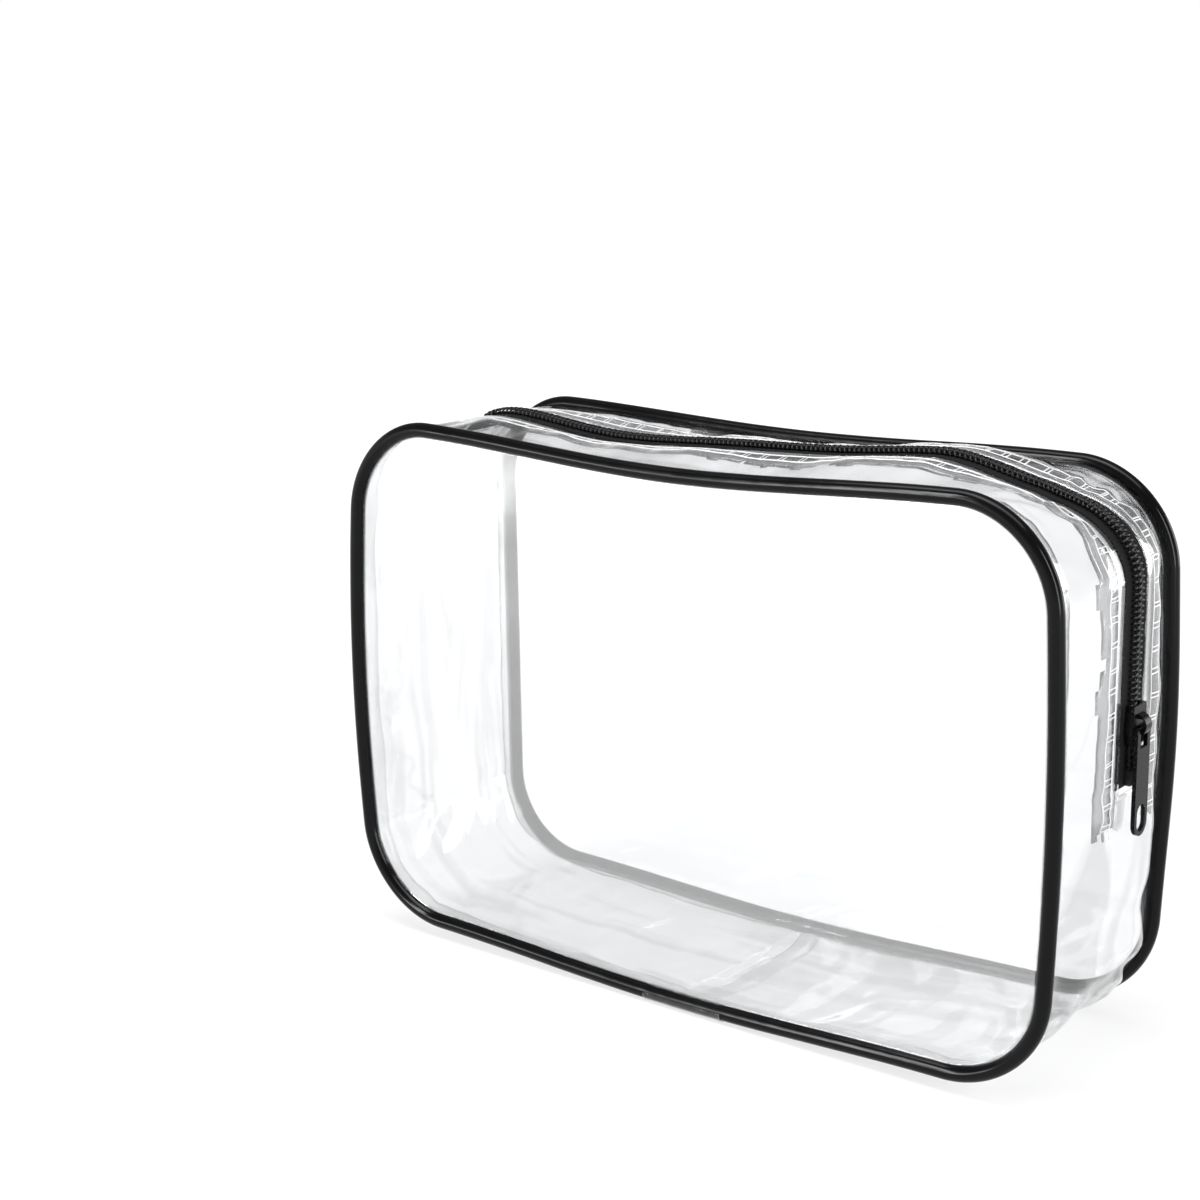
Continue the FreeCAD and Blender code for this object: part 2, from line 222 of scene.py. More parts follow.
A_FLANGE_END = along_at(right_side, FLANGE_END_Z, 1)
A_ZIP_END = along_at(right_side, ZIP_END_Z, 1)
A_TAPE_END = along_at(right_side, TAPE_END_Z, 1)
A_COIL_END = along_at(right_side, COIL_END_Z, 1)
A_MOUTH_RIGHT = along_at(right_side, MOUTH_RIGHT_Z, 1)
A_MOUTH_LEFT = along_at(top_left, MOUTH_LEFT_X, 0)
A_COIL_START = along_at(top_left, coil_low.x, 0)
A_TAPE_START = along_at(top_left, tape_low.x, 0)
A_ZIP_START = along_at(top_left, ZIP_START_X, 0)
A_STOP_LOW = along_at(top_left, bottom_stop_low.x, 0)
A_STOP_HIGH = along_at(top_left, bottom_stop_high.x, 0)
CORNER_ALONG = [ALONG[PATH_STEPS // 2 + PATH_STEPS * 2 * k + PATH_STEPS // 2] for k in range(4)]
A_RIGHT_CORNER = CORNER_ALONG[1]


def bend(points):
    """The standing bag's overall bend: its ends lift, and the piping of its sides bows."""
    out = np.array(points, float)
    x = out[..., 0] - MIDDLE_X
    y = out[..., 1]
    z = (out[..., 2] - PIPING_LOOP[2]) / LOOP_HEIGHT
    half = (PIPING_LOOP[1] - PIPING_LOOP[0]) / 2
    swell = np.sin(np.pi * np.clip(z, 0, 1))
    near_edge = smooth(0.35, 1.0, np.abs(y) / HALF_DEPTH)
    to_left = np.clip(-x / half, 0, 1) ** 2
    to_right = np.clip(x / half, 0, 1) ** 2
    front = y < 0
    rise = 0.5 - 0.5 * np.cos(np.pi * np.clip(np.abs(x) / LIFT_REACH, 0, 1))
    out[..., 2] += LIFT_MIDDLE + (LIFT - LIFT_MIDDLE) * rise
    out[..., 0] -= BOW_FRONT_LEFT * swell * near_edge * to_left * front
    out[..., 0] += np.where(front, BOW_FRONT_RIGHT, BOW_REAR_RIGHT) * swell * near_edge * to_right
    middle_share = 1 - smooth(0, 0.9, np.abs(x) / half)
    out[..., 2] -= FRONT_SAG * near_edge * front * smooth(0.4, 1.0, z) * middle_share
    rear_edge = near_edge * ~front
    high = smooth(0.5, 1.0, z)
    corner = rear_edge * high * smooth(0.45, 1.0, x / half)
    out[..., 2] -= REAR_SAG * rear_edge * high + REAR_CORNER_PULL * corner
    out[..., 0] -= REAR_CORNER_PULL * corner + REAR_LEAN * rear_edge * to_right * (1 - smooth(0.1, 0.6, z))
    return out


def zipness(along):
    """1 where the gusset carries the zip, 0 elsewhere."""
    soft = 12 * MM
    return smooth(A_FLANGE_END - soft, A_FLANGE_END + soft, along) * \
        (1 - smooth(A_ZIP_START - soft, A_ZIP_START + soft, along))


def corner_share(along, reach):
    """1 at the bag's corners, falling to 0 within a reach."""
    share = np.zeros_like(along)
    for place in CORNER_ALONG:
        share = np.maximum(share, 1 - smooth(0.4 * reach, reach, np.abs(along - place)))
    return share


def zip_sag(along, across):
    """How far the gusset's middle stands out from its drawn loop: the zip dips at the right corner
    and towards its far end, and the film is taut below the zip."""
    corner = smooth(A_RIGHT_CORNER - 28 * MM, A_RIGHT_CORNER + 20 * MM, along) \
        * (1 - smooth(A_RIGHT_CORNER + 14 * MM, A_RIGHT_CORNER + 64 * MM, along))
    dips = ((A_RIGHT_CORNER + 62 * MM, 30 * MM, 2.0 * MM),
            (A_ZIP_START - 70 * MM, 40 * MM, -4.0 * MM),
            (A_ZIP_START + 8 * MM, 18 * MM, -9.0 * MM),
            (CORNER_ALONG[0], 30 * MM, -1.8 * MM))
    sag = sum(height * np.exp(-((along - place) / width) ** 2) for place, width, height in dips)
    to_right = np.clip(on_path(NORMALS, along)[..., 0], 0, 1)
    taut = (1 - smooth(A_FLANGE_END - 55 * MM, A_FLANGE_END - 6 * MM, along)) * to_right
    sag = sag - CORNER_DIP * corner - TAUT_DIP * taut
    return sag * (1 - smooth(10 * MM, SLOPE_END, np.abs(across)))


def film_wave(along, across):
    """How far the gusset's film stands out from its drawn shape."""
    far = np.abs(across)
    zipped = zipness(along)
    inner = smooth(9 * MM, 20 * MM, far) * zipped + (1 - zipped)
    envelope = inner * (1 - smooth(30 * MM, 40 * MM, far))
    broad = 2.4 * MM * field(along, across, 46 * MM, 70 * MM, 1.3)
    cross = 1.3 * MM * field(along, across, 17 * MM, 55 * MM, 7.1)
    fine = 0.35 * MM * field(along, across, 6 * MM, 16 * MM, 3.7)
    ridges = 1 - 2 * np.abs(field(along + 0.5 * across, across - 0.3 * along, 13 * MM, 26 * MM, 9.2))
    crinkle = 1.6 * MM * (ridges - 0.75) * corner_share(along, 45 * MM)
    beside = smooth(8 * MM, 12 * MM, far) * (1 - smooth(18 * MM, 26 * MM, far))
    crumple = 1.1 * MM * field(along, across, 5 * MM, 7 * MM, 5.9) * beside \
        * np.exp(-((along - A_FLANGE_END - 6 * MM) / (16 * MM)) ** 2)
    return envelope * (broad + cross + fine + crinkle) + crumple


def surface(along, across, out):
    """Points of the gusset, at a distance out from its face."""
    share = smooth(FLAT_HALF, SLOPE_END, np.abs(across))[..., None]
    path = on_path(ZIP_PATH, along) * (1 - share) + on_path(PIPING_PATH, along) * share
    normal = on_path(NORMALS, along)
    path = path + normal * (out + film_wave(along, across) + zip_sag(along, across))[..., None]
    points = np.stack([path[..., 0], across, path[..., 1]], -1)
    return bend(points)


# ---------------------------------------------------------------- mesh helpers
def make_object(name, vertices, faces, uvs=None):
    mesh = bpy.data.meshes.new(name)
    mesh.from_pydata([tuple(v) for v in vertices], [], faces)
    if uvs is not None:
        layer = mesh.uv_layers.new(name="UVMap")
        loops = np.zeros(len(mesh.loops), int)
        mesh.loops.foreach_get("vertex_index", loops)
        layer.data.foreach_set("uv", np.array(uvs, float)[loops].ravel())
    mesh.polygons.foreach_set("use_smooth", [True] * len(mesh.polygons))
    mesh.update()
    obj = bpy.data.objects.new(name, mesh)
    bpy.context.scene.collection.objects.link(obj)
    return obj


def apply_modifiers(obj):
    bpy.context.view_layer.update()
    depsgraph = bpy.context.evaluated_depsgraph_get()
    mesh = bpy.data.meshes.new_from_object(obj.evaluated_get(depsgraph))
    obj.modifiers.clear()
    obj.data = mesh


def thicken(obj, thickness):
    """Gives a sheet its thickness, inwards from the face it was drawn on."""
    modifier = obj.modifiers.new("thickness", "SOLIDIFY")
    modifier.thickness = thickness
    modifier.offset = -1
    modifier.use_even_offset = False
    apply_modifiers(obj)


def grid_faces(rows, columns, closed_rows=False, closed_columns=False):
    faces = []
    row_count = rows if closed_rows else rows - 1
    column_count = columns if closed_columns else columns - 1
    for i in range(row_count):
        for j in range(column_count):
            a = i * columns + j
            b = i * columns + (j + 1) % columns
            c = ((i + 1) % rows) * columns + (j + 1) % columns
            d = ((i + 1) % rows) * columns + j
            faces.append((a, b, c, d))
    return faces


def lines(low, high, step, fixed):
    """Even values from low to high, with some fixed values among them."""
    values = list(fixed)
    for value in np.arange(low, high + step / 2, step):
        if all(abs(value - other) > step * 0.4 for other in fixed):
            values.append(value)
    return np.array(sorted(set(values)))


ALONG_LINES = lines(0, ROUND, 2 * MM, [
    0, ROUND, A_FLANGE_END, A_ZIP_END, A_TAPE_END, A_MOUTH_RIGHT, A_MOUTH_LEFT, A_ZIP_START,
    A_TAPE_START, A_COIL_END])
ACROSS_FIXED = [WINDOW_HALF, TAPE_HALF, WELD_BAND_OUTER, FLAT_HALF, FLANGE_OUTER, SEAM_INNER,
                SLOPE_END, GUSSET_EDGE, TAPE_INNER]
ACROSS_LINES = lines(-GUSSET_EDGE, GUSSET_EDGE, 2 * MM,
                     [0.0] + [side * value for side in (-1, 1) for value in ACROSS_FIXED])


def band(name, keep, out, thickness):
    """Piece of the gusset's grid: the cells whose middle passes a test."""
    along, across = np.meshgrid(ALONG_LINES, ACROSS_LINES, indexing="ij")
    points = surface(along, across, np.full(along.shape, out)).reshape(-1, 3)
    uvs = np.stack([along, across], -1).reshape(-1, 2)
    columns = len(ACROSS_LINES)
    last = len(ALONG_LINES) - 1
    middle_along = (ALONG_LINES[1:] + ALONG_LINES[:-1]) / 2
    middle_across = (ACROSS_LINES[1:] + ACROSS_LINES[:-1]) / 2
    used, faces = {}, []

    def number(i, j):
        key = (0 if i == last else i) * columns + j
        return used.setdefault(key, len(used))

    for i, a in enumerate(middle_along):
        for j, b in enumerate(middle_across):
            if keep(a, b):
                faces.append((number(i, j), number(i, j + 1), number(i + 1, j + 1), number(i + 1, j)))
    picked = list(used)
    obj = make_object(name, points[picked], faces, uvs[picked])
    thicken(obj, thickness)
    return obj


def open_seams(obj, places):
    """Takes away the rim faces that lie on the seams between two pieces of the gusset."""
    mesh = obj.data
    layer = mesh.uv_layers[0].data
    bare = bmesh.new()
    bare.from_mesh(mesh)
    bare.faces.ensure_lookup_table()
    rims = []
    for polygon in mesh.polygons:
        along = [layer[loop].uv[0] for loop in polygon.loop_indices]
        across = [layer[loop].uv[1] for loop in polygon.loop_indices]
        on_seam = any(all(abs(a - place) < 0.01 * MM for a in along) for place in places)
        if on_seam and max(across) < 0:
            rims.append(bare.faces[polygon.index])
    bmesh.ops.delete(bare, geom=rims, context="FACES_ONLY")
    bare.to_mesh(mesh)
    bare.free()
    mesh.update()


def tube(name, centres, radius, sides, closed, across_hint):
    """Round tube along points; the hint is a direction that the path never follows."""
    centres = np.array(centres)
    if closed:
        tangent = np.roll(centres, -1, 0) - np.roll(centres, 1, 0)
    else:
        tangent = np.gradient(centres, axis=0)
    tangent /= np.linalg.norm(tangent, axis=1)[:, None]
    first = np.cross(tangent, across_hint)
    first /= np.linalg.norm(first, axis=1)[:, None]
    second = np.cross(tangent, first)
    radius = np.broadcast_to(radius, (len(centres),))
    turn = np.linspace(0, 2 * np.pi, sides, endpoint=False)
    rings = centres[:, None] + radius[:, None, None] * (
        first[:, None] * np.cos(turn)[None, :, None] + second[:, None] * np.sin(turn)[None, :, None])
    faces = grid_faces(len(centres), sides, closed_rows=closed, closed_columns=True)
    length = np.concatenate([[0], np.cumsum(np.linalg.norm(np.diff(centres, axis=0), axis=1))])
    uvs = np.stack(np.meshgrid(length, turn * float(radius[0]), indexing="ij"), -1).reshape(-1, 2)
    vertices = rings.reshape(-1, 3)
    if not closed:
        count = len(vertices)
        vertices = np.concatenate([vertices, centres[:1], centres[-1:]])
        uvs = np.concatenate([uvs, uvs[:1], uvs[-1:]])
        base = (len(centres) - 1) * sides
        for j in range(sides):
            following = (j + 1) % sides
            faces.append((count, following, j))
            faces.append((count + 1, base + j, base + following))
    return make_object(name, vertices, faces, uvs)


def finish_piece(obj, material, bodies, replaced):
    """Material, slot, body (a piece of several bodies gets its transform baked in place instead), and
    hides the CAD nodes that the piece stands for.
    """
    obj.data.materials.clear()
    obj.data.materials.append(material)
    if len(bodies) == 1:
        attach(obj, bodies[0])
    else:
        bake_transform(obj)
    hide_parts(*replaced)
    return obj


# ---------------------------------------------------------------- materials
GLOSS_POWER = 4.5
GRAZING_GLOSS = 0.95


def new_material(name):
    material = bpy.data.materials.new(name)
    material.use_nodes = True
    tree = material.node_tree
    tree.nodes.clear()
    output = tree.nodes.new("ShaderNodeOutputMaterial")
    return material, tree, output


def add_node(tree, kind, **values):
    made = tree.nodes.new(kind)
    for key, value in values.items():
        if hasattr(made, key):
            setattr(made, key, value)
        else:
            made.inputs[key.replace("_", " ")].default_value = value
    return made


def bump_from(tree, height, distance, strength=1.0):
    bump = tree.nodes.new("ShaderNodeBump")
    bump.inputs["Strength"].default_value = strength
    bump.inputs["Distance"].default_value = distance
    tree.links.new(height, bump.inputs["Height"])
    return bump.outputs["Normal"]


def film_material(name, clear_tint, painted_streak_tint, rough, facing_gloss, haze_colour, wave):
    """Clear film: see-through, with grey streaks along it, a gloss that grows towards grazing and a
    fine unevenness. The streaks are painted reflection: darker surroundings painted into the see-through
    colour."""
    material, tree, output = new_material(name)
    place = tree.nodes.new("ShaderNodeTexCoord")
    waves = add_node(tree, "ShaderNodeTexNoise", Scale=90.0, Detail=3.0, Roughness=0.5)
    tree.links.new(place.outputs["Object"], waves.inputs["Vector"])
    normal = bump_from(tree, waves.outputs["Fac"], wave)
    weight = add_node(tree, "ShaderNodeLayerWeight", Blend=0.5)
    tree.links.new(normal, weight.inputs["Normal"])
    power = tree.nodes.new("ShaderNodeMath")
    power.operation = "POWER"
    power.inputs[1].default_value = GLOSS_POWER
    tree.links.new(weight.outputs["Facing"], power.inputs[0])
    factor = tree.nodes.new("ShaderNodeMapRange")
    factor.inputs["To Min"].default_value = facing_gloss
    factor.inputs["To Max"].default_value = GRAZING_GLOSS
    tree.links.new(power.outputs[0], factor.inputs["Value"])
    # Painted reflection: noise streaks along the film darken its see-through colour from the clear tint to
    # the streak tint, in place of darker surroundings reflected in the film.
    stretch = tree.nodes.new("ShaderNodeMapping")
    stretch.inputs["Scale"].default_value = (7, 42, 1)
    tree.links.new(place.outputs["UV"], stretch.inputs["Vector"])
    painted_streaks = add_node(tree, "ShaderNodeTexNoise", Scale=1.0, Detail=2.5, Distortion=1.4)
    tree.links.new(stretch.outputs[0], painted_streaks.inputs["Vector"])
    shade = tree.nodes.new("ShaderNodeValToRGB")
    shade.color_ramp.elements[0].position = 0.42
    shade.color_ramp.elements[0].color = (*painted_streak_tint, 1)
    shade.color_ramp.elements[1].position = 0.54
    shade.color_ramp.elements[1].color = (*clear_tint, 1)
    tree.links.new(painted_streaks.outputs["Fac"], shade.inputs[0])
    clear = tree.nodes.new("ShaderNodeBsdfTransparent")
    tree.links.new(shade.outputs[0], clear.inputs["Color"])
    gloss = tree.nodes.new("ShaderNodeBsdfPrincipled")
    gloss.inputs["Base Color"].default_value = (*haze_colour, 1)
    gloss.inputs["Metallic"].default_value = 1.0
    gloss.inputs["Roughness"].default_value = rough
    tree.links.new(normal, gloss.inputs["Normal"])
    mix = tree.nodes.new("ShaderNodeMixShader")
    tree.links.new(factor.outputs[0], mix.inputs[0])
    tree.links.new(clear.outputs[0], mix.inputs[1])
    tree.links.new(gloss.outputs[0], mix.inputs[2])
    tree.links.new(mix.outputs[0], output.inputs["Surface"])
    return material


def piping_material():
    """Black gloss cord with a faint unevenness along it."""
    material, tree, output = new_material("piping_gloss")
    place = tree.nodes.new("ShaderNodeTexCoord")
    stretch = tree.nodes.new("ShaderNodeMapping")
    stretch.inputs["Scale"].default_value = (60, 60, 60)
    tree.links.new(place.outputs["Object"], stretch.inputs["Vector"])
    waves = add_node(tree, "ShaderNodeTexNoise", Scale=1.0, Detail=2.0)
    tree.links.new(stretch.outputs[0], waves.inputs["Vector"])
    shader = tree.nodes.new("ShaderNodeBsdfPrincipled")
    shader.inputs["Base Color"].default_value = (0.002, 0.002, 0.0022, 1)
    shader.inputs["Specular IOR Level"].default_value = 0.14
    tree.links.new(bump_from(tree, waves.outputs["Fac"], 0.25 * MM), shader.inputs["Normal"])
    rough = tree.nodes.new("ShaderNodeMapRange")
    rough.inputs["To Min"].default_value = 0.1
    rough.inputs["To Max"].default_value = 0.24
    tree.links.new(waves.outputs["Fac"], rough.inputs["Value"])
    tree.links.new(rough.outputs[0], shader.inputs["Roughness"])
    tree.links.new(shader.outputs[0], output.inputs["Surface"])
    return material


def tape_material():
    """Black woven polyester: a fine twill from two wave textures over the piece's own length."""
    material, tree, output = new_material("tape_weave")
    place = tree.nodes.new("ShaderNodeTexCoord")
    scale = tree.nodes.new("ShaderNodeMapping")
    scale.inputs["Scale"].default_value = (1000, 1000, 1000)
    tree.links.new(place.outputs["UV"], scale.inputs["Vector"])
    first = add_node(tree, "ShaderNodeTexWave", Scale=0.55, Distortion=0.6)
    first.bands_direction = "DIAGONAL"
    second = add_node(tree, "ShaderNodeTexWave", Scale=0.8, Distortion=0.4)
    second.bands_direction = "X"
    grain = add_node(tree, "ShaderNodeTexNoise", Scale=1.6, Detail=2.0)
    for texture in (first, second, grain):
        tree.links.new(scale.outputs[0], texture.inputs["Vector"])
    weave = tree.nodes.new("ShaderNodeMath")
    weave.operation = "MULTIPLY"
    tree.links.new(first.outputs["Fac"], weave.inputs[0])
    tree.links.new(second.outputs["Fac"], weave.inputs[1])
    colour = tree.nodes.new("ShaderNodeMixRGB")
    colour.inputs[1].default_value = (0.0015, 0.0015, 0.0018, 1)
    colour.inputs[2].default_value = (0.010, 0.010, 0.012, 1)
    tree.links.new(weave.outputs[0], colour.inputs[0])
    shader = tree.nodes.new("ShaderNodeBsdfPrincipled")
    tree.links.new(colour.outputs[0], shader.inputs["Base Color"])
    shader.inputs["Roughness"].default_value = 0.75
    shader.inputs["Specular IOR Level"].default_value = 0.15
    shader.inputs["Sheen Weight"].default_value = 0.03
    shader.inputs["Sheen Roughness"].default_value = 0.4
    tree.links.new(bump_from(tree, weave.outputs[0], 0.15 * MM), shader.inputs["Normal"])
    tree.links.new(shader.outputs[0], output.inputs["Surface"])
    return material


def plain_material(name, colour, rough, bump_scale, bump_height, specular=0.5, variation=0.35):
    """Moulded or enamelled piece with fine grain and uneven gloss."""
    material, tree, output = new_material(name)
    place = tree.nodes.new("ShaderNodeTexCoord")
    grain = add_node(tree, "ShaderNodeTexNoise", Scale=bump_scale, Detail=3.0)
    tree.links.new(place.outputs["Object"], grain.inputs["Vector"])
    shade = tree.nodes.new("ShaderNodeMixRGB")
    shade.inputs[1].default_value = (*[c * (1 - variation) for c in colour], 1)
    shade.inputs[2].default_value = (*[min(1, c * (1 + variation)) for c in colour], 1)
    tree.links.new(grain.outputs["Fac"], shade.inputs[0])
    shader = tree.nodes.new("ShaderNodeBsdfPrincipled")
    tree.links.new(shade.outputs[0], shader.inputs["Base Color"])
    shader.inputs["Specular IOR Level"].default_value = specular
    gloss = tree.nodes.new("ShaderNodeMapRange")
    gloss.inputs["To Min"].default_value = rough * 0.7
    gloss.inputs["To Max"].default_value = rough * 1.3
    tree.links.new(grain.outputs["Fac"], gloss.inputs["Value"])
    tree.links.new(gloss.outputs[0], shader.inputs["Roughness"])
    tree.links.new(bump_from(tree, grain.outputs["Fac"], bump_height), shader.inputs["Normal"])
    tree.links.new(shader.outputs[0], output.inputs["Surface"])
    return material


def grey(level):
    return (level, level * 1.003, level * 1.006)


# Each film's second tint is the colour of its painted reflection streaks, darker than its clear tint.
PANEL_FILM = film_material("panel_film", grey(0.99), grey(0.978), 0.03, 0.2, grey(0.99), 0.02 * MM)
REAR_FILM = film_material("rear_panel_film", grey(0.992), grey(0.98), 0.04, 0.04, grey(0.99), 0.02 * MM)
GUSSET_FILM = film_material("gusset_film", grey(0.962), grey(0.86), 0.05, 0.08, grey(0.98), 0.15 * MM)
SEAM_FILM = film_material("seam_film", grey(0.92), grey(0.84), 0.2, 0.12, grey(0.7), 0.3 * MM)
LAP_FILM = film_material("lap_film", grey(0.975), grey(0.94), 0.1, 0.12, grey(0.95), 0.2 * MM)
SLEEVE_FILM = film_material("sleeve_film", grey(0.93), grey(0.9), 0.1, 0.03, grey(0.9), 0.3 * MM)
FLANGE_FILM = film_material("flange_film", grey(0.74), grey(0.55), 0.18, 0.1, grey(0.7), 0.5 * MM)
WELD_FILM = film_material("weld_film", grey(0.90), grey(0.80), 0.25, 0.25, grey(0.95), 0.3 * MM)
RIB_FILM = film_material("rib_film", grey(0.97), grey(0.95), 0.5, 0.55, grey(0.98), 0.3 * MM)
PIPING = piping_material()
TAPE = tape_material()
COIL = plain_material("coil_nylon", (0.005, 0.005, 0.0055), 0.3, 2500, 0.02 * MM, 0.4)
STOP = plain_material("stop_plastic", (0.006, 0.006, 0.006), 0.3, 1500, 0.04 * MM)
ENAMEL = plain_material("slider_enamel", (0.002, 0.002, 0.002), 0.26, 1200, 0.02 * MM, 0.13)


# ---------------------------------------------------------------- film shell
def in_window(along, across):
    return abs(across) < WINDOW_HALF and A_ZIP_END < along < A_ZIP_START


def in_mouth(along, across):
    return across < 0 and A_MOUTH_RIGHT < along < A_MOUTH_LEFT


gusset = band("gusset_shell", lambda a, b: not in_window(a, b) and not in_mouth(a, b), 0.0, FILM)
open_seams(gusset, (A_MOUTH_RIGHT, A_MOUTH_LEFT))
finish_piece(gusset, GUSSET_FILM, ["root"], ["gusset_band"])
strip = band("mouth_gusset_film", lambda a, b: not in_window(a, b) and in_mouth(a, b), 0.0, FILM)
open_seams(strip, (A_MOUTH_RIGHT, A_MOUTH_LEFT))
finish_piece(strip, GUSSET_FILM, ["root", "mouth"], ["mouth_gusset_strip"])


def panel_mesh(name, side):
    """Film panel: rows that follow the rounded corners, gently uneven, thickened outwards."""
    left, right, bottom, top = PANEL_LOOP
    radius = CORNER_RADIUS - PANEL_INSET
    half_height = (top - bottom) / 2
    middle_z = (top + bottom) / 2
    half_width = (right - left) / 2
    rows = []
    for turn in np.linspace(-90, 0, 16)[:-1]:
        rows.append((-(half_height - radius) + radius * math.sin(math.radians(turn)),
                     half_width - radius + radius * math.cos(math.radians(turn))))
    for z in np.linspace(-(half_height - radius), half_height - radius, 80):
        rows.append((z, half_width))
    for turn in np.linspace(0, 90, 16)[1:]:
        rows.append((half_height - radius + radius * math.sin(math.radians(turn)),
                     half_width - radius + radius * math.cos(math.radians(turn))))
    share = np.linspace(-1, 1, 181)
    z = np.array([row[0] for row in rows])[:, None] * np.ones(len(share))
    x = np.array([row[1] for row in rows])[:, None] * share
    edge = np.minimum(half_width - np.abs(x), half_height - np.abs(z))
    hold = smooth(0, 30 * MM, edge)
    wave = 1.3 * MM * field(x, z, 130 * MM, 100 * MM, 4.4 + side) \
        + 0.25 * MM * field(x + 0.6 * z, z, 45 * MM, 80 * MM, 8.8 + side)
    corner = np.exp(-((x + 0.72 * half_width) ** 2 + (z - 0.62 * half_height) ** 2) / (36 * MM) ** 2)
    wave += 1.8 * MM * corner * field(x - 0.4 * z, z, 16 * MM, 34 * MM, 2.2 + side)
    y = side * HALF_DEPTH + hold * wave - 0.5 * FILM
    points = np.stack([x + (left + right) / 2, y, z + middle_z], -1)
    points = bend(points).reshape(-1, 3)
    faces = grid_faces(len(rows), len(share))
    uvs = np.stack([x, z], -1).reshape(-1, 2)
    obj = make_object(name, points, faces, uvs)
    thicken(obj, FILM)
    return obj


front_panel = panel_mesh("front_panel_film", -1)
finish_piece(front_panel, PANEL_FILM, ["root", "mouth"], ["front_panel", "mouth_panel"])
rear_panel = panel_mesh("rear_panel_film", 1)
finish_piece(rear_panel, REAR_FILM, ["root"], ["rear_panel"])


# ---------------------------------------------------------------- piping, sleeves and seams
def piping_line(side, along):
    path = on_path(PIPING_PATH, along)
    points = np.stack([path[:, 0], np.full(len(along), side * HALF_DEPTH), path[:, 1]], -1)
    return bend(points)


def piping_tube(name, side):
    along = np.linspace(0, ROUND, 560, endpoint=False)
    uneven = 1 + 0.02 * noise_at(np.stack([along / (25 * MM), along * 0], -1), 5.0 + side)
    return tube(name, piping_line(side, along), CORD_RADIUS * uneven, 28, True, (0, 1, 0))


finish_piece(piping_tube("front_piping_cord", -1), PIPING, ["root", "mouth"],
             ["front_piping", "mouth_piping"])
finish_piece(piping_tube("rear_piping_cord", 1), PIPING, ["root"], ["rear_piping"])


def splice_sleeve(name, side):
    """Clear sleeve with slightly flared ends, open towards the film edges."""
    x = np.linspace(sleeve_low.x, sleeve_high.x, 34)
    open_from, open_to = (100, 170) if side < 0 else (10, 80)
    turn = np.radians(np.linspace(open_to, open_from + 360, 40))
    ends = np.minimum(x - x[0], x[-1] - x)
    radius = CORD_RADIUS + SLEEVE_GAP + SLEEVE_FLARE * (1 - smooth(0, 2 * MM, ends))
    grid_x, grid_turn = np.meshgrid(x, turn, indexing="ij")
    grid_radius = radius[:, None] + 0.08 * MM * field(grid_x, grid_turn, 5 * MM, 0.9, 6.6)
    y = side * HALF_DEPTH + grid_radius * np.cos(grid_turn)
    z = PIPING_LOOP[2] + grid_radius * np.sin(grid_turn)
    points = bend(np.stack([grid_x, y, z], -1)).reshape(-1, 3)
    obj = make_object(name, points, grid_faces(len(x), len(turn)))
    thicken(obj, SLEEVE_THICKNESS)
    return obj


for side, place in ((-1, "front"), (1, "rear")):
    finish_piece(splice_sleeve(place + "_sleeve_film", side), SLEEVE_FILM, ["root"],
                 [place + "_splice_sleeve"])


def seam_strip(name, side, standing):
    def keep(along, across):
        inside = SEAM_INNER < side * across < SEAM_OUTER
        if standing is None:
            return inside
        return inside and in_mouth(along, across) != standing
    return band(name, keep, -FILM, FILM)


finish_piece(seam_strip("rear_seam_strip", 1, None), SEAM_FILM, ["root"],
             ["rear_seam_allowance"])
finish_piece(seam_strip("front_seam_strip", -1, True), SEAM_FILM, ["root"],
             ["front_seam_allowance"])
finish_piece(seam_strip("mouth_seam_strip", -1, False), SEAM_FILM, ["root", "mouth"],
             ["mouth_seam_allowance"])


def lap_joint():
    """Second layer of film across the bottom, with an uneven edge."""
    across = np.linspace(-SEAM_INNER, SEAM_INNER, 60)
    share = np.linspace(0, 1, 9)
    grid_across, grid_share = np.meshgrid(across, share, indexing="ij")
    slant = 0.6 * MM * field(grid_across, grid_share, 14 * MM, 2.0, 3.1)
    along = lap_low.x - MIDDLE_X + (lap_high.x - lap_low.x) * grid_share + slant
    points = surface(along, grid_across, np.full(along.shape, -FILM - 0.05 * MM)).reshape(-1, 3)
    obj = make_object("gusset_lap_film", points, grid_faces(len(across), len(share)))
    thicken(obj, FILM)
    return obj


finish_piece(lap_joint(), LAP_FILM, ["root"], ["gusset_lap_joint"])


# ---------------------------------------------------------------- zip
def tape(name, side):
    low = min(A_TAPE_END, A_TAPE_START)
    high = max(A_TAPE_END, A_TAPE_START)
    def keep(along, across):
        return low < along < high and TAPE_INNER < side * across < TAPE_HALF
    return band(name, keep, -FILM, TAPE_THICKNESS)


def flange(name, side, inner, outer, out):
    """Film layer welded under the gusset beside the tape; its outer edge wanders."""
    def keep(along, across):
        wander = 3.0 * MM * noise.noise(Vector((along / (11 * MM), side, 4.0)))
        start = A_FLANGE_END + 9 * MM * abs(noise.noise(Vector((across / (4 * MM), side, 8.0))))
        return start < along < A_ZIP_START and inner < side * across < outer + wander
    return band(name, keep, out, TAPE_THICKNESS)


